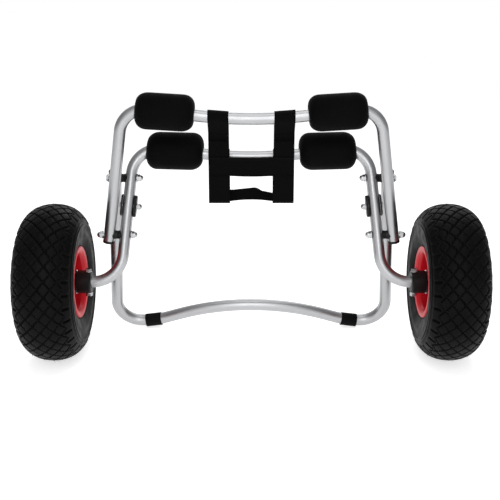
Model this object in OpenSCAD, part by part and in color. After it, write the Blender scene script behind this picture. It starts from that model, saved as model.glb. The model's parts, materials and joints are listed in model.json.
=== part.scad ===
// Folding boat trolley: two hinged tube frames, a stand, webbing and two pneumatic wheels.
// Millimetres. X is across the trolley, Y runs from front to back, Z is up, ground at Z = 0.

/* [Layout] */
// height of the wheel axis above the ground
axle_z = 130; // [120:1:150]
// Y of the wheel axis, so that the whole trolley is centred on Y = 0
axle_y = -15.45; // [-60:0.01:30]
// X of the wheel centre plane
wheel_x = 324.5; // [300:0.5:350]

/* [Tubes] */
// outer radius of the main and cradle tubes
tube_r = 9.5; // [8:0.5:12]
// outer radius of the stand tube
stand_r = 10.5; // [9:0.5:13]
// tube wall
wall = 1.5; // [1:0.1:3]

/* [Main frame] */
// how far the main frame leans back, degrees
lean_b = 11; // [0:0.5:20]
// X where the leg line meets the stub line
leg_b_x = 217.6; // [200:0.1:230]
// how much the leg comes in for each mm up
leg_b_in = 0.11; // [0:0.0005:0.15]
// height of the top bar's middle along the frame
bar_b = 207.4; // [180:0.1:240]
// slope of each half of the main bar, degrees
slope_b = 6; // [0:0.5:10]
// radius of the top corners
corner_b = 45; // [30:1:70]
// radius of the bend into the stub
stub_bend = 52; // [40:1:70]

/* [Cradle frame] */
// how far the cradle leans forward at rest, degrees
lean_a = -7; // [-15:0.5:0]
// distance of the lower hinge along the main frame, from the stub line
low_hinge = 78.5; // [60:0.5:100]
// X of the cradle leg at the hinge
leg_a_x = 235.1; // [225:0.1:250]
// how much the cradle leg comes in for each mm up
leg_a_in = 0.154; // [0:0.001:0.2]
// height of the cradle bar's middle above the hinge, along the frame
bar_a = 193.7; // [150:0.1:230]
// slope of each half of the cradle bar, degrees
slope_a = 6.5; // [0:0.5:10]
// radius of the cradle's top corners
corner_a = 40; // [30:1:70]
// leg length below the hinge
tail_a = 9.2; // [8:0.1:20]

/* [Stand] */
// distance of the upper hinge along the main frame, from the stub line
high_hinge = 172.3; // [150:0.1:190]
// how far the stand leans from upright, degrees
lean_c = 22; // [10:0.1:45]
// X of the stand leg at the hinge
leg_c_x = 225; // [220:0.1:240]
// how much the stand leg goes out for each mm down
leg_c_out = 0.083; // [0:0.001:0.2]
// distance from the hinge to the middle of the bottom bar
bar_c = 272.14; // [250:0.01:330]
// slope of each half of the bottom bar, degrees
slope_c = 18.8; // [0:0.1:25]
// X where the bar flattens towards its corners
knee_x = 176; // [160:1:190]
// bend radius there
knee_bend = 150; // [100:5:300]
// slope of the bar beyond it, degrees
slope_end = 2; // [0:0.5:8]
// bend radius of the bar's bowed middle
bow_c = 420; // [300:1:600]
// radius of the bottom corners
corner_c = 44; // [30:1:70]
// stand tube above the hinge
tail_c = 10; // [8:0.5:20]
// X of the foot sleeves
foot_x = 182; // [150:1:200]
// length of a foot sleeve
foot_len = 29; // [20:1:50]
// radius of a foot sleeve
foot_r = 12; // [11.5:0.1:18]

/* [Pads] */
// radius of the foam pads
pad_r = 32; // [25:0.5:40]
// length of the foam pads
pad_len = 95; // [70:1:130]
// edge rounding of the foam pads
pad_round = 11; // [4:1:16]
// X of the cradle pads
pad_a_x = 136; // [120:1:160]
// X of the main pads
pad_b_x = 125.5; // [110:0.5:150]

/* [Hardware] */
// bolt radius
bolt_r = 3; // [2:0.5:5]
// radial clearance of a bolt in its holes
slack = 0.08; // [0.02:0.01:0.2]
// distance of the latch bolt along the main frame
latch_v = 126.8; // [100:0.1:150]
// length of a latch plate
latch_len = 36; // [24:1:50]
// width of a latch plate
latch_w = 15; // [10:1:24]
// inner end of the hub collar
collar_in = 265; // [255:1:275]
// outer end of the hub collar
collar_out = 290; // [280:1:300]
// radius of the hub collar
collar_r = 19; // [15:0.5:24]

/* [Wheels] */
// tyre radius
tyre_r = 130; // [110:1:150]
// half the tyre width
tyre_hw = 49; // [35:1:55]
// radius of the rim flange
rim_r = 59.5; // [50:0.5:70]
// half the hub length
hub_hl = 33; // [25:1:40]
// axle radius
axle_r = 7.9; // [6:0.05:10]

/* [Webbing] */
// X of the long straps
strap_x = 52.5; // [40:0.5:70]
// width of the webbing straps
strap_w = 33; // [25:0.5:50]
// thickness of the webbing
strap_t = 1.8; // [1:0.1:3]

/* [Hidden] */
$fn = 64;
e = 0.05; // fit between pieces of one body
joint_step = 0.06; // how much thinner a tube's straight lengths are than its bends

silver = [0.80, 0.81, 0.82];
black = [0.06, 0.06, 0.06];
foam = [0.09, 0.09, 0.09];
red = [0.78, 0.06, 0.09];
steel = [0.62, 0.63, 0.65];
rubber = [0.08, 0.08, 0.08];

// hinge points in Y and Z
low_y = axle_y + low_hinge * sin(lean_b);
low_z = axle_z + low_hinge * cos(lean_b);
high_y = axle_y + high_hinge * sin(lean_b);
high_z = axle_z + high_hinge * cos(lean_b);

// X of each leg at a distance along its own frame
function bx(v) = leg_b_x - leg_b_in * v;
function ax(v) = leg_a_x - leg_a_in * v;
function cx(d) = leg_c_x + leg_c_out * d;

// ---------- tube paths ----------
function unit(p) = p / norm(p);
function heading(p, q) = atan2(q[1] - p[1], q[0] - p[0]);
function wrap(a) = a > 180 ? a - 360 : (a < -180 ? a + 360 : a);
function turn(P, i) = wrap(heading(P[i], P[i + 1]) - heading(P[i - 1], P[i]));
function cutback(P, R, i) = (i == 0 || i == len(P) - 1) ? 0 : R[i] * tan(abs(turn(P, i)) / 2);

// a round bar along the corner points P, with bend radii R, in the XY plane. The straight lengths are
// a hair thinner than the bends and reach a little way into them, so that every joint is clean.
module run(P, R, r, ends = 0) {
  n = len(P);
  for (i = [0 : n - 2]) {
    d = unit(P[i + 1] - P[i]);
    a = P[i] + d * (i == 0 ? -ends : cutback(P, R, i) - 0.4);
    b = P[i + 1] - d * (i == n - 2 ? -ends : cutback(P, R, i + 1) - 0.4);
    translate([a[0], a[1], 0]) rotate([0, 0, heading(P[i], P[i + 1])]) rotate([0, 90, 0])
      cylinder(h = norm(b - a), r = r - joint_step);
  }
  for (i = [1 : n - 2]) {
    t = turn(P, i);
    h = heading(P[i - 1], P[i]);
    a = P[i] - unit(P[i] - P[i - 1]) * cutback(P, R, i);
    s = t > 0 ? 1 : -1;
    c = a + R[i] * [-sin(h), cos(h)] * s;
    translate([c[0], c[1], 0]) rotate([0, 0, s > 0 ? h - 90 : h + 90 + t])
      rotate_extrude(angle = abs(t), $fn = 96) translate([R[i], 0]) circle(r = r);
  }
}

// the corner points of each frame, left end to right end
function corner(px, pv, s, bm) = // where the leg line (px at 0, out by pv per mm) meets the bar line
  let (x = (px + pv * bm) / (1 - pv * tan(s))) [x, bm + x * tan(s)];
apex_b = bar_b - 700 * (1 / cos(slope_b) - 1);
cb = corner(leg_b_x, -leg_b_in, slope_b, apex_b);
path_b = [[-collar_out + 0.3, 0], [-leg_b_x, 0], [-cb[0], cb[1]], [0, apex_b],
          [cb[0], cb[1]], [leg_b_x, 0], [collar_out - 0.3, 0]];
bends_b = [0, stub_bend, corner_b, 700, corner_b, stub_bend, 0];
apex_a = bar_a - 700 * (1 / cos(slope_a) - 1);
ca = corner(leg_a_x, -leg_a_in, slope_a, apex_a);
path_a = [[-ax(-tail_a), -tail_a], [-ca[0], ca[1]], [0, apex_a], [ca[0], ca[1]], [ax(-tail_a), -tail_a]];
bends_a = [0, corner_a, 700, corner_a, 0];
apex_c = bar_c - bow_c * (1 / cos(slope_c) - 1);
knee_v = apex_c + knee_x * tan(slope_c);
knee_cut = knee_bend * tan((slope_c - slope_end) / 2);
cc = corner(leg_c_x, leg_c_out, slope_end, knee_v - knee_x * tan(slope_end));
path_c = [[-cx(-tail_c), tail_c], [-cc[0], -cc[1]], [-knee_x, -knee_v], [0, -apex_c],
          [knee_x, -knee_v], [cc[0], -cc[1]], [cx(-tail_c), tail_c]];
bends_c = [0, corner_c, knee_bend, bow_c, knee_bend, corner_c, 0];
// a foot sleeve's own slope, and its distance from the hinge
foot_tilt = slope_end + (slope_c - slope_end) * (knee_x + knee_cut - foot_x) / (2 * knee_cut);
foot_v = knee_v + (foot_x - knee_x) * tan(slope_end) - pow(knee_x + knee_cut - foot_x, 2) / (2 * knee_bend);

// place the flat drawing of each frame
module on_b() { translate([0, axle_y, axle_z]) rotate([-lean_b, 0, 0]) rotate([90, 0, 0]) children(); }
module on_a() { translate([0, low_y, low_z]) rotate([-lean_a, 0, 0]) rotate([90, 0, 0]) children(); }
module on_c() { translate([0, high_y, high_z]) rotate([lean_c, 0, 0]) rotate([90, 0, 0]) children(); }
module both() { children(); mirror([1, 0, 0]) children(); }
module left() { mirror([1, 0, 0]) children(); }

// a cylinder along X at a hinge
module at_low(x0, x1, r) { translate([x0, low_y, low_z]) rotate([0, 90, 0]) cylinder(h = x1 - x0, r = r); }
module at_high(x0, x1, r) { translate([x0, high_y, high_z]) rotate([0, 90, 0]) cylinder(h = x1 - x0, r = r); }
// the latch's own axis, square to the main leg, with +Z pointing away from the middle
module at_latch() {
  on_b() translate([bx(latch_v), latch_v, 0]) rotate([0, 0, atan(leg_b_in)]) rotate([0, 90, 0]) children();
}

// ---------- main frame ----------
module main_frame() color(silver) difference() {
  on_b() run(path_b, bends_b, tube_r);
  on_b() run(path_b, bends_b, tube_r - wall, 2);
  both() { at_low(150, 260, bolt_r + slack); at_high(150, 260, bolt_r + slack); }
  both() at_latch() translate([0, 0, -30]) cylinder(h = 60, r = bolt_r + slack);
  both() translate([270.5, axle_y, axle_z - 40]) cylinder(h = 80, r = bolt_r + slack);
}

module pad_body(x, bar, slope) { // a rounded cylinder on one half of a bar
  translate([x, bar + x * tan(slope), 0]) rotate([0, 0, slope]) rotate([0, 90, 0])
    translate([0, 0, -pad_len / 2]) rotate_extrude($fn = 96) {
      square([pad_r - pad_round, pad_len]);
      translate([0, pad_round]) square([pad_r, pad_len - 2 * pad_round]);
      for (z = [pad_round, pad_len - pad_round]) intersection() {
        translate([pad_r - pad_round, z]) circle(r = pad_round);
        square([pad_r, pad_len]);
      }
    }
}
module pad_main_r() color(foam) on_b() difference() {
  pad_body(pad_b_x, apex_b, slope_b);
  run(path_b, bends_b, tube_r + e);
}
module pad_main_l() left() pad_main_r();

module collar_r() color(black) difference() {
  translate([collar_in, axle_y, axle_z]) rotate([0, 90, 0]) rotate_extrude() polygon([
    [tube_r + e, 0], [collar_r - 2, 0], [collar_r, 2], [collar_r, collar_out - collar_in - 2],
    [collar_r - 1.5, collar_out - collar_in], [tube_r + e, collar_out - collar_in]]);
  translate([270.5, axle_y, axle_z - 40]) cylinder(h = 80, r = bolt_r + slack);
  for (s = [-1, 1]) translate([270.5, axle_y, axle_z + s * (collar_r + 8.6)]) cube([13, 13, 20], center = true);
}
module collar_l() left() collar_r();
module collar_bolts() color(steel) both() {
  translate([270.5, axle_y, axle_z - 24.5]) cylinder(h = 42.8, r = bolt_r);
  translate([270.5, axle_y, axle_z + 17.65]) cylinder(h = 1.2, r = 6);
  translate([270.5, axle_y, axle_z + 18.8]) cylinder(h = 3.6, r = 5.6, $fn = 6);
}
module collar_nuts() color(steel) both() difference() {
  union() {
    translate([270.5, axle_y, axle_z - 18.85]) cylinder(h = 1.2, r = 6);
    translate([270.5, axle_y, axle_z - 23.8]) cylinder(h = 5, r = 5.7, $fn = 6);
  }
  translate([270.5, axle_y, axle_z - 40]) cylinder(h = 80, r = bolt_r + 0.03);
}

module axle_r() color(steel) difference() {
  translate([266.5, axle_y, axle_z]) rotate([0, 90, 0]) rotate_extrude() polygon([
    [0, 0], [axle_r - 1, 0], [axle_r, 1], [axle_r, 98.5], [axle_r - 1.2, 99.7], [0, 99.7]]);
  translate([270.5, axle_y, axle_z - 40]) cylinder(h = 80, r = bolt_r + slack);
}
module axle_l() left() axle_r();
module ring_x(x0, x1, ro, ri) {
  translate([x0, axle_y, axle_z]) rotate([0, 90, 0]) difference() {
    cylinder(h = x1 - x0, r = ro);
    translate([0, 0, -1]) cylinder(h = x1 - x0 + 2, r = ri);
  }
}
module axle_washers() color(steel) both() {
  ring_x(290.05, 291.15, 19.8, axle_r + e);
  ring_x(wheel_x + hub_hl + 0.35, wheel_x + hub_hl + 1.85, 14.5, axle_r + e);
}
module axle_caps() color(black) both() difference() {
  translate([wheel_x + hub_hl + 1.9, axle_y, axle_z]) rotate([0, 90, 0]) rotate_extrude() polygon([
    [0, 0], [13, 0], [13, 3], [11.5, 6], [8, 8.6], [0, 9.6]]);
  translate([200, axle_y, axle_z]) rotate([0, 90, 0]) cylinder(h = 166.3, r = axle_r + 0.02);
}

// ---------- hinge hardware ----------
module dome(x, d, y, z) { // a low dome on a hex, pointing along +X (d = 1) or -X (d = -1)
  translate([x, y, z]) rotate([0, d * 90, 0]) {
    cylinder(h = 4, r = 5.8, $fn = 6);
    intersection() {
      translate([0, 0, 3.9]) sphere(r = 5.1);
      translate([0, 0, 3.9]) cylinder(h = 9, r = 5.1);
    }
  }
}
b_low = bx(low_hinge);
b_high = bx(high_hinge);
low_out = leg_a_x + 10.8;
high_out = leg_c_x + 11.2;
module lower_bolts() color(steel) both() {
  at_low(b_low - 17, low_out + 1, bolt_r);
  at_low(low_out, low_out + 1.1, 6.6);
  dome(low_out + 1.05, 1, low_y, low_z);
}
module upper_bolts() color(steel) both() {
  at_high(b_high - 17, high_out + 1, bolt_r);
  at_high(high_out, high_out + 1.1, 6.6);
  at_high(high_out + 1.05, high_out + 3.2, 5.2);
}
module acorn_nuts() color(steel) both() difference() {
  union() {
    at_low(b_low - 11.3, b_low - 10.15, 6.6);
    dome(b_low - 11.25, -1, low_y, low_z);
    at_high(b_high - 11.3, b_high - 10.15, 6.6);
    dome(b_high - 11.25, -1, high_y, high_z);
  }
  at_low(b_low - 17.1, 300, bolt_r + 0.03);
  at_high(b_high - 17.1, 300, bolt_r + 0.03);
}
flat_low = 221.8; // X where the two saddles of a lower hinge meet
flat_high = 211.1; // X where the two saddles of an upper hinge meet
module saddle_cone(x0, x1, r0, r1) { rotate([0, 90, 0]) translate([0, 0, x0]) cylinder(h = x1 - x0, r1 = r0, r2 = r1); }
module saddles_main() color(black) both() difference() {
  union() {
    translate([0, low_y, low_z]) saddle_cone(b_low, flat_low, 8.6, 6.8);
    translate([0, high_y, high_z]) saddle_cone(b_high, flat_high, 8.6, 6.8);
  }
  on_b() run(path_b, bends_b, tube_r + e);
  at_low(150, 260, bolt_r + slack);
  at_high(150, 260, bolt_r + slack);
}

// ---------- cradle ----------
module cradle_frame() color(silver) difference() {
  on_a() run(path_a, bends_a, tube_r);
  on_a() run(path_a, bends_a, tube_r - wall, 2);
  both() at_low(200, 260, bolt_r + slack);
}
module pad_cradle_r() color(foam) on_a() difference() {
  pad_body(pad_a_x, apex_a, slope_a);
  run(path_a, bends_a, tube_r + e);
}
module pad_cradle_l() left() pad_cradle_r();
module end_caps_cradle() color(black) both() on_a()
  translate([ax(-tail_a), -tail_a, 0]) rotate([0, 0, atan(leg_a_in)]) rotate([90, 0, 0]) {
    translate([0, 0, e]) cylinder(h = 4, r = tube_r + 0.4);
    translate([0, 0, -4.6]) cylinder(h = 5, r = tube_r - wall - 2 * e);
  }
module saddles_cradle() color(black) both() difference() {
  translate([0, low_y, low_z]) saddle_cone(flat_low + 0.4, leg_a_x, 6.8, 8.6);
  on_a() run(path_a, bends_a, tube_r + e);
  at_low(200, 260, bolt_r + slack);
}

// ---------- stand ----------
module stand_frame() color(silver) difference() {
  on_c() run(path_c, bends_c, stand_r);
  on_c() run(path_c, bends_c, stand_r - wall, 2);
  both() at_high(200, 260, bolt_r + slack);
}
module end_caps_stand() color(black) both() on_c()
  translate([cx(-tail_c), tail_c, 0]) rotate([0, 0, atan(leg_c_out)]) rotate([-90, 0, 0]) {
    translate([0, 0, e]) cylinder(h = 2.6, r = stand_r + 0.2);
    translate([0, 0, -3.6]) cylinder(h = 4, r = stand_r - wall - 2 * e);
  }
module foot_r() color(rubber) on_c() difference() {
  translate([foot_x, -foot_v, 0]) rotate([0, 0, -foot_tilt]) rotate([0, 90, 0])
    cylinder(h = foot_len, r = foot_r, center = true);
  run(path_c, bends_c, stand_r + e);
}
module foot_l() left() foot_r();
module saddles_stand() color(black) both() difference() {
  translate([0, high_y, high_z]) saddle_cone(flat_high + 0.4, leg_c_x, 6.8, 8.6);
  on_c() run(path_c, bends_c, stand_r + e);
  at_high(200, 260, bolt_r + slack);
}

// ---------- latches: an oval plate on each side of the main leg, turning together ----------
module oval(t) { // a flat oval with a bevelled edge, from Z = 0 to t
  for (s = [-1, 1]) translate([0, s * (latch_len - latch_w) / 2, 0]) {
    cylinder(h = t - 1, r = latch_w / 2);
    translate([0, 0, t - 1]) cylinder(h = 1, r1 = latch_w / 2, r2 = latch_w / 2 - 1);
  }
  translate([-latch_w / 2, -(latch_len - latch_w) / 2, 0]) cube([latch_w, latch_len - latch_w, t - 1]);
  translate([-latch_w / 2 + 1, -(latch_len - latch_w) / 2, 0]) cube([latch_w - 2, latch_len - latch_w, t]);
}
module latch_outer_r() color(black) at_latch() difference() {
  translate([0, 0, tube_r + 0.35]) oval(2.2);
  cylinder(h = 40, r = bolt_r + 0.03);
}
module latch_inner_r() color(black) at_latch() rotate([180, 0, 0]) difference() {
  translate([0, 0, tube_r + 0.35]) oval(4);
  cylinder(h = 40, r = bolt_r + 0.03);
}
module latch_bolt_r() color(steel) at_latch() translate([0, 0, -18.5]) cylinder(h = 32.5, r = bolt_r);
module latch_nuts_r() color(steel) at_latch() difference() {
  union() {
    translate([0, 0, tube_r + 2.6]) cylinder(h = 1.95, r = 5.8, $fn = 6);
    translate([0, 0, -tube_r - 4.4]) rotate([180, 0, 0]) {
      cylinder(h = 4, r = 5.8, $fn = 6);
      intersection() {
        translate([0, 0, 3.9]) sphere(r = 5.1);
        translate([0, 0, 3.9]) cylinder(h = 9, r = 5.1);
      }
    }
  }
  translate([0, 0, -18.6]) cylinder(h = 40, r = bolt_r + 0.03);
}
module latch_outer_l() left() latch_outer_r();
module latch_inner_l() left() latch_inner_r();
module latch_bolt_l() left() latch_bolt_r();
module latch_nuts_l() left() latch_nuts_r();

// ---------- wheels: drawn about Z, +Z pointing away from the trolley ----------
module on_wheel() { translate([wheel_x, axle_y, axle_z]) rotate([0, 90, 0]) children(); }
// half of the tyre's outline, from the crown to the bead, as [radius, z]
half_out = [[tyre_r, 0], [tyre_r - 0.8, 10], [tyre_r - 3, 20], [tyre_r - 8, 31], [tyre_r - 15, 39.5],
            [tyre_r - 24, 46], [tyre_r - 34, tyre_hw], [tyre_r - 44, 48], [tyre_r - 54, 45.5],
            [tyre_r - 62, 43], [rim_r + 4.5, 41.5], [rim_r + 0.7, 39.8], [rim_r + 0.4, 37.6],
            [rim_r - 1.6, 36.5], [rim_r - 4, 36]];
half_in = [[rim_r - 7.4, 33], [rim_r - 7.6, 27], [rim_r + 2, 29], [rim_r + 10, 36],
           [tyre_r - 50, 40.5], [tyre_r - 34, 42.5], [tyre_r - 20, 39.5], [tyre_r - 12, 31.5], [tyre_r - 8, 18],
           [tyre_r - 7.5, 0]];
function flip(L) = [for (i = [len(L) - 1 : -1 : 0]) [L[i][0], -L[i][1]]];
module wheel_tyre_r() color(rubber) on_wheel()
  rotate_extrude($fn = 128) polygon(concat(half_out, half_in, flip(half_in), flip(half_out)));
module wheel_tyre_l() left() wheel_tyre_r();
module inner_tube_r() color(rubber) on_wheel() rotate_extrude($fn = 96) translate([87.6, 0]) difference() {
  circle(r = 30.5);
  circle(r = 28.7);
}
module inner_tube_l() left() inner_tube_r();
module rim_half() difference() {
  union() {
    rotate_extrude($fn = 96) polygon([
      [17.1, 0.05], [47.5, 0.05], [50, 8], [51, 33], [52.5, 35.7], [rim_r - 1.6, 36.9], [rim_r, 38.1],
      [rim_r, 40.5], [rim_r - 1, 41.7], [rim_r - 3.5, 42], [rim_r - 7.5, 41.1], [rim_r - 10.5, 38.5],
      [rim_r - 12.3, 34], [45.2, 8], [43.4, 3.1], [17.1, 3.1]]);
    for (i = [0 : 5]) rotate([0, 0, 60 * i]) rotate([90, 0, 0]) translate([0, 0, -1.6])
      linear_extrude(height = 3.2) polygon([[17.4, 2], [45.5, 2], [47.2, 12], [41, 11], [20.5, 24], [17.4, 24]]);
  }
  for (i = [0 : 5]) rotate([0, 0, 60 * i + 30]) translate([25, 0, -1]) cylinder(h = 6, r = bolt_r + slack);
}
module rim_outer_r() color(red) on_wheel() difference() {
  rim_half();
  rotate([0, 0, 30]) translate([53, 0, 14]) rotate([0, -90, 0]) cylinder(h = 12, r = 4.6);
}
module rim_inner_r() color(red) on_wheel() mirror([0, 0, 1]) rim_half();
module rim_inner_l() left() rim_inner_r();
module rim_outer_l() left() rim_outer_r();
module valve_r() color(rubber) on_wheel() rotate([0, 0, 30]) difference() {
  union() {
    translate([57.6, 0, 14]) rotate([0, -90, 0]) cylinder(h = 21.6, r = 4.3);
    translate([36, 0, 14]) sphere(r = 4.3);
    translate([36, 0, 15.5]) cylinder(h = 3.4, r = 4.9);
    translate([36, 0, 14]) cylinder(h = 20.5, r = 3.85);
  }
  rotate_extrude($fn = 96) translate([87.6, 0]) circle(r = 30.6);
  translate([36, 0, 26]) cylinder(h = 10, r = 1.4);
}
module valve_l() left() valve_r();
module hub_r() color(steel) on_wheel() rotate_extrude() polygon([
  [14, -hub_hl], [17, -hub_hl], [17, hub_hl], [14, hub_hl], [14, hub_hl - 9], [12, hub_hl - 9],
  [12, -hub_hl + 9], [14, -hub_hl + 9]]);
module hub_l() left() hub_r();
module bearings_r() color(steel) on_wheel() for (s = [-1, 1]) translate([0, 0, s * (hub_hl - 4.5)])
  difference() { cylinder(h = 8.8, r = 14 - e, center = true); cylinder(h = 10, r = 8, center = true); }
module bearings_l() left() bearings_r();
module rim_bolts_r() color(steel) on_wheel() for (i = [0 : 5]) rotate([0, 0, 60 * i + 30]) translate([25, 0, 0]) {
  translate([0, 0, -8]) cylinder(h = 11.5, r = bolt_r);
  translate([0, 0, 3.15]) cylinder(h = 3.6, r = 4.8, $fn = 6);
}
module rim_bolts_l() left() rim_bolts_r();
module rim_nuts_r() color(steel) on_wheel() for (i = [0 : 5]) rotate([0, 0, 60 * i + 30]) translate([25, 0, 0])
  difference() {
    translate([0, 0, -7.4]) cylinder(h = 4.25, r = 4.8, $fn = 6);
    translate([0, 0, -8]) cylinder(h = 12, r = bolt_r + 0.03);
  }
module rim_nuts_l() left() rim_nuts_r();

// ---------- webbing: drawn plain ----------
za = bar_a * cos(lean_a) + low_z;   // the cradle bar's middle
ya = bar_a * sin(lean_a) + low_y;
zb = bar_b * cos(lean_b) + axle_z;  // the main bar's middle
yb = bar_b * sin(lean_b) + axle_y;
lift = strap_x * strap_x / 1400;    // the bars rise a little towards the straps
y_low = yb - 21;                    // the front run's lower end
z_low = 266;
ring_r = tube_r + 0.5;
function strip_at(p, q) = atan2(q[0] - p[0], q[1] - p[1]); // lean of a strip from p up to q, as [y, z]
module strip(p, q, x0, x1) { // a flat strip from p up to q
  translate([x0, p[0], p[1]]) rotate([-strip_at(p, q), 0, 0])
    translate([0, -strap_t / 2, 0]) cube([x1 - x0, strap_t, norm(q - p)]);
}
front_top = [ya + ring_r + strap_t / 2 - 0.4, za + lift]; // the strips enter the loops at a clear angle
front_low = [y_low, z_low];
back_low = [y_low + 14, z_low];
back_top = [yb + ring_r + strap_t / 2, zb + lift];
module loop(y, z, slope) { // around a bar
  translate([strap_x, y, z]) rotate([0, 90 - slope, 0]) difference() {
    cylinder(h = strap_w - 2, r = ring_r + strap_t, center = true);
    cylinder(h = strap_w + 6, r = ring_r, center = true);
  }
}
module strap_r() color(black) {
  x0 = strap_x - strap_w / 2;
  x1 = strap_x + strap_w / 2;
  difference() {
    union() {
      strip(front_low, front_top, x0, x1);
      strip(back_low, back_top, x0, x1);
    }
    on_a() run(path_a, bends_a, ring_r + strap_t / 2);
    on_b() run(path_b, bends_b, ring_r + strap_t / 2);
  }
  loop(ya, za + lift, asin(strap_x / 700));
  loop(yb, zb + lift, asin(strap_x / 700));
  translate([x0 + 0.1, y_low + 7, z_low + 0.6]) rotate([0, 90, 0]) difference() {
    cylinder(h = strap_w - 0.2, r = 7.15 + strap_t / 2);
    translate([0, 0, -1]) cylinder(h = strap_w + 2, r = 6.85 - strap_t / 2);
    translate([-20, -20, -1]) cube([20, 40, strap_w + 2]);
  }
}
module strap_l() left() strap_r();
module rung(p, q, off, z0, z1, x) {
  a = strip_at(p, q);
  translate([-x, p[0], p[1]]) rotate([-a, 0, 0]) translate([0, off, (z0 - p[1]) / cos(a)])
    cube([2 * x, strap_t, (z1 - z0) / cos(a)]);
}
module rung_upper() color(black) rung(front_low, front_top, -1.55 * strap_t, 306, 336, strap_x + strap_w / 2);
module rung_lower() color(black) rung(back_low, back_top, 0.55 * strap_t, 266, 284, strap_x + strap_w / 2);

main_frame();
pad_main_l();
pad_main_r();
collar_l();
collar_r();
collar_bolts();
collar_nuts();
axle_l();
axle_r();
axle_washers();
axle_caps();
upper_bolts();
lower_bolts();
acorn_nuts();
saddles_main();
cradle_frame();
pad_cradle_l();
pad_cradle_r();
end_caps_cradle();
saddles_cradle();
stand_frame();
end_caps_stand();
foot_l();
foot_r();
saddles_stand();
latch_inner_l();
latch_outer_l();
latch_bolt_l();
latch_nuts_l();
latch_inner_r();
latch_outer_r();
latch_bolt_r();
latch_nuts_r();
wheel_tyre_l();
inner_tube_l();
valve_l();
rim_inner_l();
rim_outer_l();
hub_l();
bearings_l();
rim_bolts_l();
rim_nuts_l();
wheel_tyre_r();
inner_tube_r();
valve_r();
rim_inner_r();
rim_outer_r();
hub_r();
bearings_r();
rim_bolts_r();
rim_nuts_r();
strap_l();
strap_r();
rung_upper();
rung_lower();
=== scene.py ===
"""Folding boat trolley with two pneumatic wheels: the looks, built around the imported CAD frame."""

import itertools
import json
import math
import random

import bpy
import numpy as np
from mathutils import Matrix, Vector


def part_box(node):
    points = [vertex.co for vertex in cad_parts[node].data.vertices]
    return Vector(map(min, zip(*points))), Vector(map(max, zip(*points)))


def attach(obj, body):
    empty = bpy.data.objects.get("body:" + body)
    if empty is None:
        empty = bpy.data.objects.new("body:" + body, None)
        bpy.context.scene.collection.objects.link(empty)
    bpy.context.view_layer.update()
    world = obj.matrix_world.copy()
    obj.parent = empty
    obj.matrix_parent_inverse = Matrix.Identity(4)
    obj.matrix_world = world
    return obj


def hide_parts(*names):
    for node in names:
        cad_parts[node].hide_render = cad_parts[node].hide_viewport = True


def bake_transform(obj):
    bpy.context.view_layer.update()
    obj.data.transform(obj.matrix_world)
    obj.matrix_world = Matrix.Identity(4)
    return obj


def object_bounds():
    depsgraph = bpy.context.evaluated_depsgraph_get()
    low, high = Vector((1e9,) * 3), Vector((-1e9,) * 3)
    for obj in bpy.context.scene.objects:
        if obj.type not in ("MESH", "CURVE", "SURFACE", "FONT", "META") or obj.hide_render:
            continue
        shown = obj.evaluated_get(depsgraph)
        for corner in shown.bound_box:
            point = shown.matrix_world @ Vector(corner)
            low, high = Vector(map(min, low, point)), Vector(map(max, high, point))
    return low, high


MM = 0.001
CAMERA_PLACE = (-0.0022, -1.3109, 0.5068)
CAMERA_PITCH = math.radians(13.97)
CAMERA_LENS = 58.3

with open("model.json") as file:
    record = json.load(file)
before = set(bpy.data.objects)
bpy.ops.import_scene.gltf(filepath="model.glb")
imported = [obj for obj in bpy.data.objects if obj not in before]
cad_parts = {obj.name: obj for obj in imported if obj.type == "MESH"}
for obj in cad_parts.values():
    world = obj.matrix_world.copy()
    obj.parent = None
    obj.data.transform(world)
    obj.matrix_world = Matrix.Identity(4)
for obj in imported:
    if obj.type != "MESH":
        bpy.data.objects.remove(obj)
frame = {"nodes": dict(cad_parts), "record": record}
packed_low, packed_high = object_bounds()

camera = bpy.data.objects.new("camera", bpy.data.cameras.new("camera"))
camera.location = CAMERA_PLACE
camera.rotation_euler = (math.pi / 2 - CAMERA_PITCH, 0, 0)
camera.data.lens = CAMERA_LENS
camera.data.sensor_width = 36
bpy.context.collection.objects.link(camera)
bpy.context.scene.camera = camera


# ---------- places, all worked out from the frame ----------
def middle(node):
    low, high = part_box(node)
    return (low + high) / 2


def half_size(node):
    low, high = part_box(node)
    return (high - low) / 2


LOW_HINGE = middle("lower_bolts")
AXLE = middle("axle_caps")
WHEEL_X = middle("hub_r").x
TYRE_RADIUS = half_size("wheel_tyre_r").z
CRADLE_LEAN = math.radians(-7)
MAIN_LEAN = math.radians(11)
CRADLE_REACH = 193.7 * MM
MAIN_REACH = 207.4 * MM
SIDES = ((1, "r"), (-1, "l"))
STRAP_X = middle("strap_r").x
STRAP_WIDTH = 33 * MM
STRAP_THICK = 1.5 * MM
TUBE_RADIUS = 9.5 * MM
BAR_BOW = 700 * MM


def up_a_frame(foot, reach, lean):
    """The point (Y, Z) that is reach along a frame from its foot."""
    return foot.y + reach * math.sin(lean), foot.z + reach * math.cos(lean)


CRADLE_BAR = up_a_frame(LOW_HINGE, CRADLE_REACH, CRADLE_LEAN)
MAIN_BAR = up_a_frame(AXLE, MAIN_REACH, MAIN_LEAN)


# ---------- materials ----------
BLEND_START, BLEND_END = 0.3, 0.7


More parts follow.
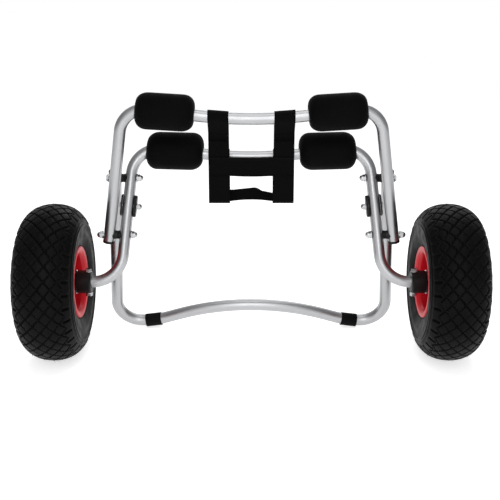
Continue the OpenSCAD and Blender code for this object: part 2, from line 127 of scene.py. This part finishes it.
class Paint:
    """A Principled material with helpers for the procedural nodes that feed it."""

    def __init__(self, name, colour, roughness, metallic=0.0):
        self.name = name
        self.material = bpy.data.materials.new(name)
        self.material.use_nodes = True
        self.nodes = self.material.node_tree.nodes
        self.links = self.material.node_tree.links
        self.shader = self.nodes["Principled BSDF"]
        self.shader.inputs["Base Color"].default_value = (*colour, 1)
        self.shader.inputs["Roughness"].default_value = roughness
        self.shader.inputs["Metallic"].default_value = metallic
        self.place = self.nodes.new("ShaderNodeTexCoord")

    def set(self, **values):
        for name, value in values.items():
            self.shader.inputs[name.replace("_", " ")].default_value = value

    def noise(self, scale, detail=3.0):
        noise = self.nodes.new("ShaderNodeTexNoise")
        noise.inputs["Scale"].default_value = scale
        noise.inputs["Detail"].default_value = detail
        self.links.new(self.place.outputs["Object"], noise.inputs["Vector"])
        return noise.outputs["Fac"]

    def bands(self, scale, direction):
        wave = self.nodes.new("ShaderNodeTexWave")
        wave.bands_direction = direction
        wave.inputs["Scale"].default_value = scale
        self.links.new(self.place.outputs["UV"], wave.inputs["Vector"])
        return wave.outputs["Fac"]

    def vary_colour(self, source, low, high):
        """The pattern blends between two colours, each an (r, g, b)."""
        ramp = self.nodes.new("ShaderNodeValToRGB")
        ramp.color_ramp.elements[0].position = BLEND_START
        ramp.color_ramp.elements[0].color = (*low, 1)
        ramp.color_ramp.elements[1].position = BLEND_END
        ramp.color_ramp.elements[1].color = (*high, 1)
        self.links.new(source, ramp.inputs["Fac"])
        self.links.new(ramp.outputs["Color"], self.shader.inputs["Base Color"])

    def vary_roughness(self, source, low, high):
        spread = self.nodes.new("ShaderNodeMapRange")
        spread.inputs["From Min"].default_value = BLEND_START
        spread.inputs["From Max"].default_value = BLEND_END
        spread.inputs["To Min"].default_value = low
        spread.inputs["To Max"].default_value = high
        self.links.new(source, spread.inputs["Value"])
        self.links.new(spread.outputs["Result"], self.shader.inputs["Roughness"])

    def bump(self, source, strength, depth):
        bump = self.nodes.new("ShaderNodeBump")
        bump.inputs["Strength"].default_value = strength
        bump.inputs["Distance"].default_value = depth
        self.links.new(source, bump.inputs["Height"])
        self.links.new(bump.outputs["Normal"], self.shader.inputs["Normal"])

    def times(self, one, other):
        product = self.nodes.new("ShaderNodeMath")
        product.operation = "MULTIPLY"
        self.links.new(one, product.inputs[0])
        self.links.new(other, product.inputs[1])
        return product.outputs["Value"]


def grey(value):
    """A grey with the least touch of blue."""
    return value, value * 1.01, value * 1.03


def grained(name, low, high, roughness, grain, depth, metallic=0.0, strength=0.4):
    """A material whose colour and roughness drift gently and whose surface has a fine grain."""
    paint = Paint(name, high, roughness[1], metallic)
    paint.vary_colour(paint.noise(14, 4), low, high)
    paint.vary_roughness(paint.noise(60, 4), *roughness)
    paint.bump(paint.noise(grain), strength, depth)
    return paint


def make_materials():
    dark_red, light_red = (0.60, 0.003, 0.012), (0.72, 0.006, 0.020)
    finishes = (
        grained("tube", grey(0.42), grey(0.45), (0.33, 0.38), 900, 0.01 * MM, 1.0, 0.03),
        grained("zinc", grey(0.40), grey(0.52), (0.20, 0.32), 500, 0.03 * MM, 1.0, 0.15),
        grained("foam", grey(0.0012), grey(0.0024), (0.62, 0.78), 900, 0.3 * MM),
        grained("black_plastic", grey(0.003), grey(0.006), (0.30, 0.46), 700, 0.1 * MM),
        grained("rubber", grey(0.002), grey(0.004), (0.55, 0.75), 400, 0.12 * MM),
        grained("tyre", grey(0.0014), grey(0.003), (0.36, 0.55), 450, 0.1 * MM),
        grained("rim_paint", dark_red, light_red, (0.30, 0.42), 120, 0.05 * MM, 0.0, 0.1),
        Paint("webbing", grey(0.004), 0.7),
    )
    paints = {paint.name: paint for paint in finishes}
    shine = {
        "foam": 0.03,
        "black_plastic": 0.2,
        "rubber": 0.06,
        "tyre": 0.06,
        "rim_paint": 0.25,
        "webbing": 0.03,
    }
    for name, level in shine.items():
        paints[name].set(Specular_IOR_Level=level)
    paints["foam"].set(Sheen_Weight=0.03, Sheen_Roughness=0.4)
    paints["rim_paint"].set(Coat_Weight=0.1, Coat_Roughness=0.2)
    weave(paints["webbing"])
    return {name: paint.material for name, paint in paints.items()}


def weave(paint):
    """Woven tape: fine ribs along its length, crossed by the weft. UVs are metres across and along."""
    threads = paint.times(paint.bands(240, "X"), paint.bands(180, "Y"))
    paint.vary_colour(threads, grey(0.0012), grey(0.004))
    paint.vary_roughness(threads, 0.6, 0.8)
    paint.bump(threads, 0.6, 0.35 * MM)
    paint.set(Sheen_Weight=0.02)


MATERIALS = make_materials()
for piece in frame["record"]["subparts"]:
    for slot in frame["nodes"][piece["node"]].material_slots:
        slot.material = MATERIALS[piece["material_slot"]]


# ---------- meshes ----------
def new_piece(name, points, faces, slot, uvs=None):
    """A smooth-shaded mesh object that takes its finish from one of the record's slots."""
    mesh = bpy.data.meshes.new(name)
    mesh.from_pydata([tuple(p) for p in points], [], faces)
    mesh.update()
    mesh.materials.append(MATERIALS[slot])
    mesh.shade_smooth()
    if uvs is not None:
        layer = mesh.uv_layers.new(name="across_and_along")
        for loop in mesh.loops:
            layer.data[loop.index].uv = uvs[loop.vertex_index]
    piece = bpy.data.objects.new(name, mesh)
    bpy.context.collection.objects.link(piece)
    return piece


def curve_through(corners, step):
    """Points every step along a smooth curve through the corners."""
    corners = [np.array(c, float) for c in corners]
    ends = [2 * corners[0] - corners[1]] + corners + [2 * corners[-1] - corners[-2]]
    points = [corners[0]]
    for a, b, c, d in zip(ends, ends[1:], ends[2:], ends[3:]):
        count = max(1, round(np.linalg.norm(c - b) / step))
        for i in range(1, count + 1):
            t = i / count
            bend = (2 * a - 5 * b + 4 * c - d) * t * t + (3 * b - a - 3 * c + d) * t ** 3
            points.append(0.5 * (2 * b + (c - a) * t + bend))
    return points


def ring_faces(rows, columns):
    """Quads of a grid that closes on itself both ways."""
    faces = []
    for i in range(rows):
        for j in range(columns):
            k, m = (i + 1) % rows, (j + 1) % columns
            faces.append((i * columns + j, i * columns + m, k * columns + m, k * columns + j))
    return faces


def smooth_step(value, low, high):
    """0 below low, 1 above high, and an S-curve between them."""
    t = np.clip((value - low) / (high - low), 0, 1)
    return t * t * (3 - 2 * t)


# ---------- tyres ----------
TREAD_PITCHES = 34
STEPS_PER_PITCH = 24
DIAMOND_WIDTH = 20.5 * MM
LINE_SPACING = 15.6 * MM
LUG_SPACING = 24 * MM
GROOVE_DEPTH = 3.2 * MM
SHOULDER_DEPTH = 1.9 * MM
RIB_HEIGHT = 0.9 * MM
TREAD_EDGE = 42 * MM
LUG_END = 50 * MM
HAIR_COUNT = 150
HAIR_RADIUS = 0.45 * MM
HAIR_REACH = 34
HAIR_LENGTHS = (2.0, 4.4)
HAIR_DRIFT = 0.8
HAIR_ROOT = 0.3 * MM
HAIR_SEED = 5
CROWN_DROP = 8.2 * MM
CROWN_REACH = 31 * MM


def zigzag(value):
    """A triangle wave from -1 to 1 with a period of 1."""
    return 4 * np.abs(value - np.floor(value + 0.5)) - 1


def from_line(value):
    """Distance from the nearest whole number."""
    return np.abs(value - np.round(value))


def tread_cut(along, turn):
    """How far the tread lies below the outline; along is the distance from the crown's middle."""
    side = np.abs(along)
    pitch = turn * TREAD_PITCHES / (2 * math.pi)
    one = along / DIAMOND_WIDTH + pitch
    two = along / DIAMOND_WIDTH - pitch
    line_one = from_line(one + 0.05 * zigzag(3 * two)) * LINE_SPACING
    line_two = from_line(two + 0.05 * zigzag(3 * one)) * LINE_SPACING
    groove = 1 - smooth_step(np.minimum(line_one, line_two), 0.55 * MM, 1.35 * MM)
    diamonds = groove * (1 - smooth_step(side, TREAD_EDGE - 2 * MM, TREAD_EDGE))
    gap = 1 - smooth_step(from_line(pitch + 0.5) * LUG_SPACING, 1.3 * MM, 2.6 * MM)
    lugs = gap * smooth_step(side, TREAD_EDGE - 6 * MM, TREAD_EDGE - 3 * MM)
    end = LUG_END + 3.5 * MM * np.abs(np.cos(math.pi * pitch))
    below = smooth_step(side, end, end + 1.4 * MM)
    cut = GROOVE_DEPTH * np.maximum(diamonds, lugs) * (1 - below) + SHOULDER_DEPTH * below
    for ring in (60 * MM, 66 * MM):
        cut = cut - RIB_HEIGHT * (1 - smooth_step(np.abs(side - ring), 0.6 * MM, 1.8 * MM))
    return cut * (1 - smooth_step(side, 72 * MM, 84 * MM))


def tyre_outline():
    """One section of the tyre: its (X, radius) points, their outward directions, and along at each."""
    half_width = half_size("wheel_tyre_r").x
    rim = half_size("rim_outer_r").z
    tread = [(0, 0), (0.8, 10), (3, 20), (8, 31), (15, 39.5), (24, 46)]
    wall = [(34, 49), (44, 48), (54, 45.5), (62, 43)]
    half = [(TYRE_RADIUS - drop * MM, min(out * MM, half_width)) for drop, out in tread + wall]
    bead = [(4.5, 41.5), (0.9, 39.6), (-1.6, 36.4), (-4, 35.8), (-7.2, 33)]
    half += [(rim + rise * MM, out * MM) for rise, out in bead]
    curve = curve_through(half, 1.05 * MM)
    outer = [np.array((-p[1], p[0])) for p in reversed(curve[1:])]
    outer += [np.array((p[1], p[0])) for p in curve]
    steps = [0.0] + [float(np.linalg.norm(b - a)) for a, b in zip(outer, outer[1:])]
    along = np.cumsum(steps)
    along -= along[len(curve) - 1]
    bottom = [np.array((x, rim - 7.4 * MM)) for x in np.linspace(33 * MM, -33 * MM, 8)[1:-1]]
    points = np.array(outer + bottom)
    along = np.append(along, np.full(len(bottom), 0.12))
    ahead = np.roll(points, -1, 0) - np.roll(points, 1, 0)
    ahead /= np.linalg.norm(ahead, axis=1)[:, None]
    return points, np.stack((-ahead[:, 1], ahead[:, 0]), 1), along


def make_tyres():
    points, outward, along = tyre_outline()
    turns = np.linspace(0, 2 * math.pi, TREAD_PITCHES * STEPS_PER_PITCH, endpoint=False)
    cut = tread_cut(along[:, None], turns[None, :])
    x = points[:, 0, None] - outward[:, 0, None] * cut
    radius = points[:, 1, None] - outward[:, 1, None] * cut
    grid = np.stack((x, radius * np.cos(turns), radius * np.sin(turns)), 2).reshape(-1, 3)
    right = new_piece("tyre_r", grid.tolist(), ring_faces(len(points), len(turns)), "tyre")
    left = bpy.data.objects.new("tyre_l", right.data)
    bpy.context.collection.objects.link(left)
    for tyre, (side, letter) in zip((right, left), SIDES):
        turned = Matrix.Rotation(0 if side > 0 else math.pi, 4, "Z")
        tyre.matrix_world = Matrix.Translation((side * WHEEL_X, AXLE.y, AXLE.z)) @ turned
        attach(tyre, f"wheel_{letter}")
        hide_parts(f"wheel_tyre_{letter}")


make_tyres()


def make_hairs():
    """The short rubber hairs that a tyre's mould leaves on its tread."""
    for side, letter in SIDES:
        chance = random.Random(HAIR_SEED + side)
        points, faces = [], []
        for _ in range(HAIR_COUNT):
            turn = chance.uniform(0, 2 * math.pi)
            out = chance.uniform(-HAIR_REACH, HAIR_REACH) * MM
            foot = TYRE_RADIUS - CROWN_DROP * (out / CROWN_REACH) ** 2 - HAIR_ROOT
            length = chance.uniform(*HAIR_LENGTHS) * MM
            drift = chance.uniform(-HAIR_DRIFT, HAIR_DRIFT) * MM
            first = len(points)
            for corner in range(4):
                x = out + HAIR_RADIUS * math.cos(corner * math.pi / 2)
                angle = turn + HAIR_RADIUS * math.sin(corner * math.pi / 2) / foot
                points.append((x, foot * math.cos(angle), foot * math.sin(angle)))
            tip = foot + length
            points.append((out + drift, tip * math.cos(turn), tip * math.sin(turn)))
            faces += [(first + i, first + (i + 1) % 4, first + 4) for i in range(4)]
            faces.append((first + 3, first + 2, first + 1, first))
        hairs = new_piece(f"tyre_hairs_{letter}", points, faces, "tyre")
        hairs.location = (side * WHEEL_X, AXLE.y, AXLE.z)
        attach(hairs, f"wheel_{letter}")


make_hairs()


# ---------- foam pads ----------
PAD_LENGTH = 93 * MM
PAD_RADIUS = 31 * MM
PAD_ROUND = 18.5 * MM
PAD_BORE = 9.8 * MM
PAD_COLUMNS = 44
PUFF_PRESSURE = 4
PUFF_FRAMES = 20
PUFF_LIMIT = 1.6 * MM


def pad_blank():
    """A foam sleeve along X, before it is puffed up: a bored cylinder with well rounded ends."""
    half = PAD_LENGTH / 2

    def corner(turn):
        return (
            PAD_RADIUS - PAD_ROUND + PAD_ROUND * math.sin(turn),
            half - PAD_ROUND * (1 - math.cos(turn)),
        )

    outline = [(PAD_BORE, x) for x in np.linspace(half - 2 * MM, -half + 2 * MM, 18)]
    outline += [(PAD_BORE + 1.5 * MM, -half + 0.4 * MM)]
    near_end = [corner(turn) for turn in np.linspace(0, math.pi / 2, 7)]
    outline += [(radius, -x) for radius, x in near_end]
    outline += [(PAD_RADIUS, x) for x in np.linspace(-half + PAD_ROUND, half - PAD_ROUND, 14)[1:-1]]
    outline += list(reversed(near_end))
    outline += [(PAD_BORE + 1.5 * MM, half - 0.4 * MM)]
    points = []
    for radius, x in outline:
        for j in range(PAD_COLUMNS):
            turn = 2 * math.pi * j / PAD_COLUMNS
            points.append((x, radius * math.cos(turn), radius * math.sin(turn)))
    return points, ring_faces(len(outline), PAD_COLUMNS)


def puff(piece, held):
    """Inflates a soft piece slightly with a cloth simulation; the held points stay where they are."""
    group = piece.vertex_groups.new(name="held")
    group.add(held, 1.0, "REPLACE")
    cloth = piece.modifiers.new("puff", "CLOTH")
    cloth.settings.vertex_group_mass = "held"
    cloth.settings.use_pressure = True
    cloth.settings.uniform_pressure_force = PUFF_PRESSURE
    cloth.settings.effector_weights.gravity = 0
    for number in range(1, PUFF_FRAMES + 1):
        bpy.context.scene.frame_set(number)
    puffed = piece.evaluated_get(bpy.context.evaluated_depsgraph_get())
    places = [v.co.copy() for v in puffed.data.vertices]
    piece.modifiers.remove(cloth)
    for vertex, place in zip(piece.data.vertices, places):
        move = place - vertex.co
        if move.length > PUFF_LIMIT:
            move = move.normalized() * PUFF_LIMIT
        vertex.co += move
    bpy.context.scene.frame_set(1)


def settle(pad, angle, girth):
    """Tilts a pad's outside against its bore, as foam that has settled on its bar, and sets its girth."""
    for vertex in pad.data.vertices:
        radius = math.hypot(vertex.co.y, vertex.co.z)
        share = min(1.0, max(0.0, (radius - PAD_BORE) / (PAD_RADIUS - PAD_BORE)))
        scale = 1 + (girth - 1) * share
        vertex.co.y *= scale
        vertex.co.z = vertex.co.z * scale + vertex.co.x * math.tan(angle) * share


def make_pads():
    points, faces = pad_blank()
    blank = new_piece("pad_main_foam_l", points, faces, "foam")
    blank.data.flip_normals()
    bore = [i for i, p in enumerate(points) if math.hypot(p[1], p[2]) < PAD_BORE + 2 * MM]
    puff(blank, bore)
    blank.vertex_groups.clear()
    rows = (
        ("cradle", CRADLE_LEAN, math.radians(6.5), math.radians(3), 0.94),
        ("main", MAIN_LEAN, math.radians(6), math.radians(4.5), 1.0),
    )
    for body, lean, slope, sag, girth in rows:
        for side, letter in SIDES:
            node = f"pad_{body}_{letter}"
            pad = blank
            if node != "pad_main_l":
                pad = new_piece(f"pad_{body}_foam_{letter}", [], [], "foam")
                pad.data = blank.data.copy()
            pad.data.transform(Matrix.Rotation(math.radians(40 * side + 25), 4, "X"))
            settle(pad, -side * sag, girth)
            lift = Matrix.Rotation(-lean, 4, "X") @ Matrix.Rotation(-side * slope, 4, "Y")
            pad.matrix_world = Matrix.Translation(middle(node)) @ lift
            finer = pad.modifiers.new("finer", "SUBSURF")
            finer.levels = 1
            finer.render_levels = 1
            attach(pad, body)
            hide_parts(node)


make_pads()


# ---------- webbing ----------
HOLD = TUBE_RADIUS + 0.5 * MM + STRAP_THICK / 2
LOW_EDGE = 266 * MM
FLAP_END = 363 * MM
STITCHES = 11
BOX_FACES = ((0, 1, 3, 2), (4, 6, 7, 5), (0, 4, 5, 1), (2, 3, 7, 6), (0, 2, 6, 4), (1, 5, 7, 3))
TURN_RADIUS = 7 * MM
BAR_LIFT = STRAP_X ** 2 / (2 * BAR_BOW)
BAR_SLOPE = STRAP_X / BAR_BOW
LOW_Y = MAIN_BAR[0] - 21 * MM
FRONT_LOW = (LOW_Y, LOW_EDGE)
FRONT_TOP = (CRADLE_BAR[0] + HOLD, CRADLE_BAR[1] + BAR_LIFT)
BACK_LOW = (LOW_Y + 2 * TURN_RADIUS, LOW_EDGE)
BACK_TOP = (MAIN_BAR[0] + HOLD, MAIN_BAR[1] + BAR_LIFT)


def arc(centre, radius, start, end, count=14):
    """Points (Y, Z) on a circle, from one angle to another; 0 is towards +Y and 90 is up."""
    turns = np.radians(np.linspace(start, end, count))
    return [(centre[0] + radius * math.cos(t), centre[1] + radius * math.sin(t)) for t in turns]


def strap_path():
    """The strap's middle line (Y, Z): flap, over the cradle bar, down, round, up, over the main bar."""
    front_top, front_low = np.array(FRONT_TOP), np.array(FRONT_LOW)
    back_top, back_low = np.array(BACK_TOP), np.array(BACK_LOW)

    def on_front(z):
        share = (front_top[1] - z) / (front_top[1] - front_low[1])
        return front_top + (front_low - front_top) * share

    def on_back(share):
        return back_low + (back_top - back_low) * share

    flap_gap = np.array((-1.15 * STRAP_THICK, 0))
    path = [tuple(on_front(FLAP_END) + flap_gap), tuple(on_front(FLAP_END + 14 * MM) + flap_gap)]
    path += arc((CRADLE_BAR[0], FRONT_TOP[1]), HOLD, 215, -8)
    path += [tuple(on_front(z)) for z in np.linspace(FRONT_TOP[1] - 12 * MM, LOW_EDGE + 8 * MM, 16)]
    path += arc((LOW_Y + TURN_RADIUS, LOW_EDGE), TURN_RADIUS, 180, 360)
    path += [tuple(on_back(share)) for share in np.linspace(0.12, 0.84, 8)]
    path += arc((MAIN_BAR[0], BACK_TOP[1]), HOLD, -14, 212)
    path += [tuple(on_back(share) + flap_gap) for share in (0.58, 0.42)]
    return path


def ribbon(name, path, half_width, count, shape):
    """A tape swept along a path (Y, Z), count points wide. shape(x, y, z) puts each point in place."""
    path = np.array(path)
    ahead = np.gradient(path, axis=0)
    ahead /= np.linalg.norm(ahead, axis=1)[:, None]
    outward = np.stack((-ahead[:, 1], ahead[:, 0]), 1) * STRAP_THICK / 2
    across = np.linspace(-half_width, half_width, count)
    section = [(x, 1) for x in across] + [(x, -1) for x in reversed(across)]
    along = np.append(0, np.cumsum(np.linalg.norm(np.diff(path, axis=0), axis=1)))
    points, uvs = [], []
    for place, out, distance in zip(path, outward, along):
        for x, face in section:
            points.append(shape(x, place[0] + face * out[0], place[1] + face * out[1]))
            uvs.append((x, distance))
    columns = len(section)
    faces = []
    for i in range(len(path) - 1):
        for j in range(columns):
            k = (j + 1) % columns
            here, above = i * columns, (i + 1) * columns
            faces.append((here + j, here + k, above + k, above + j))
    last = (len(path) - 1) * columns
    faces.append(tuple(range(columns)))
    faces.append(tuple(last + j for j in reversed(range(columns))))
    return new_piece(name, points, faces, "webbing", uvs), float(along[-1])


def sling(piece):
    """The webbing hangs between the two bars; its placement is baked into its mesh."""
    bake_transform(piece)


def make_stitches(name, shape, path):
    """Two rows of thread across the sewn flap in front of the strap."""
    points, faces = [], []
    foot, head = np.array(path[0]), np.array(path[1])
    ahead = (head - foot) / np.linalg.norm(head - foot)
    out = np.array((-ahead[1], ahead[0])) * (STRAP_THICK / 2 + 0.12 * MM)
    for row in (2.5 * MM, 11.5 * MM):
        for x in np.linspace(-13.5 * MM, 13.5 * MM, STITCHES):
            place = foot + ahead * row + out
            first = len(points)
            for i, j, k in itertools.product((-1, 1), repeat=3):
                points.append(shape(x + i * 0.8 * MM, place[0] + j * 0.16 * MM, place[1] + k * 0.22 * MM))
            faces += [tuple(first + corner for corner in quad) for quad in BOX_FACES]
    stitches = new_piece(name, points, faces, "foam")
    stitches.data.shade_flat()
    return stitches


def make_straps():
    for side, letter in SIDES:
        def shape(x, y, z, side=side):
            near_bar = min(1.0, max(0.0, (z - LOW_EDGE) / (CRADLE_BAR[1] - LOW_EDGE)))
            spread = 1 + 0.05 * (1 - near_bar)
            rise = x * BAR_SLOPE * near_bar
            return side * (STRAP_X + x * spread), y, z + rise

        name = f"webbing_strap_{letter}"
        strap, length = ribbon(name, strap_path(), STRAP_WIDTH / 2, 9, shape)
        if side > 0:
            strap.data.flip_normals()
        stitches = make_stitches(f"webbing_stitches_{letter}", shape, strap_path())
        sling(strap)
        sling(stitches)
        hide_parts(f"strap_{letter}")


make_straps()


def make_rungs():
    """Two cross straps: a flat one in front, and a wavy one behind, whose right half has dropped."""
    reach = STRAP_X + STRAP_WIDTH / 2
    runs = (
        ("upper", FRONT_LOW, FRONT_TOP, -1.2 * STRAP_THICK, 306 * MM, 336 * MM),
        ("lower", BACK_LOW, BACK_TOP, 1.2 * STRAP_THICK, 260 * MM, 279 * MM),
    )
    for name, low, top, gap, bottom_z, top_z in runs:
        lean = (top[0] - low[0]) / (top[1] - low[1])
        path = [(low[0] + (z - low[1]) * lean + gap, z) for z in np.linspace(bottom_z, top_z, 7)]

        def shape(x, y, z, name=name, bottom_z=bottom_z, top_z=top_z):
            free = max(0.0, 1 - (x / (STRAP_X - STRAP_WIDTH / 2)) ** 2)
            if name == "upper":
                sag = 1.2 * MM * free * (top_z - z) / (top_z - bottom_z)
                return x, y - 0.8 * MM * free, z - sag
            height = (z - bottom_z) / (top_z - bottom_z)
            hump = 3.5 * MM * math.exp(-((x - 5 * MM) / (10 * MM)) ** 2)
            fall = 6 * MM * smooth_step(x, 8 * MM, 28 * MM)
            rise = 3 * MM * free * (1 - height)
            wave = 1.5 * MM * free * math.sin(x / (14 * MM))
            return x, y + wave, z + (hump - fall) * height + rise

        rung, length = ribbon(f"webbing_rung_{name}", path, reach, 33, shape)
        sling(rung)
        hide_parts(f"rung_{name}")


make_rungs()


# ---------- floor, sky and lights ----------
def make_sky():
    """A plain white backdrop, whose light is greyer from the sides and overhead, as in a studio."""
    world = bpy.data.worlds.new("studio")
    world.use_nodes = True
    nodes, links = world.node_tree.nodes, world.node_tree.links
    place = nodes.new("ShaderNodeTexCoord")
    split = nodes.new("ShaderNodeSeparateXYZ")
    sideways = nodes.new("ShaderNodeMath")
    sideways.operation = "ABSOLUTE"
    edge = nodes.new("ShaderNodeMath")
    edge.operation = "MAXIMUM"
    ramp = nodes.new("ShaderNodeValToRGB")
    ramp.color_ramp.elements[0].position = 0.34
    ramp.color_ramp.elements[0].color = (1, 1, 1, 1)
    ramp.color_ramp.elements[1].position = 0.8
    ramp.color_ramp.elements[1].color = (0.30, 0.30, 0.31, 1)
    links.new(place.outputs["Generated"], split.inputs["Vector"])
    links.new(split.outputs["X"], sideways.inputs[0])
    links.new(sideways.outputs["Value"], edge.inputs[0])
    links.new(split.outputs["Z"], edge.inputs[1])
    links.new(edge.outputs["Value"], ramp.inputs["Fac"])
    seen = nodes.new("ShaderNodeLightPath")
    backdrop = nodes.new("ShaderNodeMix")
    backdrop.data_type = "RGBA"
    backdrop.inputs["B"].default_value = (1, 1, 1, 1)
    links.new(seen.outputs["Is Camera Ray"], backdrop.inputs["Factor"])
    links.new(ramp.outputs["Color"], backdrop.inputs["A"])
    links.new(backdrop.outputs["Result"], nodes["Background"].inputs["Color"])
    nodes["Background"].inputs["Strength"].default_value = 1.0
    return world


def make_stage():
    bpy.ops.mesh.primitive_plane_add(size=14)
    floor = bpy.context.object
    floor.name = "floor"
    floor.location.z = packed_low.z - 0.2 * MM
    paper = grained("paper", (0.88, 0.88, 0.88), (0.90, 0.90, 0.90), (0.8, 0.9), 200, 0.05 * MM)
    paper.set(Emission_Color=(1, 1, 1, 1), Emission_Strength=0.66, Specular_IOR_Level=0.1)
    floor.data.materials.append(paper.material)
    bpy.context.scene.world = make_sky()
    target = Vector((0, 0, 0.22))
    for name, place, size, power in (
        ("key", (0.0, -2.0, 1.9), (1.5, 1.2), 10),
        ("strip", (0.0, -2.3, 0.75), (0.5, 1.6), 7),
        ("top", (0.0, -0.2, 2.3), (1.6, 1.6), 12),
        ("back", (0.3, 2.0, 1.9), (1.6, 1.6), 10),
    ):
        light = bpy.data.lights.new(name, "AREA")
        light.shape = "RECTANGLE"
        light.size, light.size_y = size
        light.energy = power
        lamp = bpy.data.objects.new(name, light)
        lamp.location = place
        lamp.rotation_euler = (target - Vector(place)).to_track_quat("-Z", "Y").to_euler()
        bpy.context.collection.objects.link(lamp)
    bpy.context.scene.view_settings.view_transform = "Standard"


make_stage()
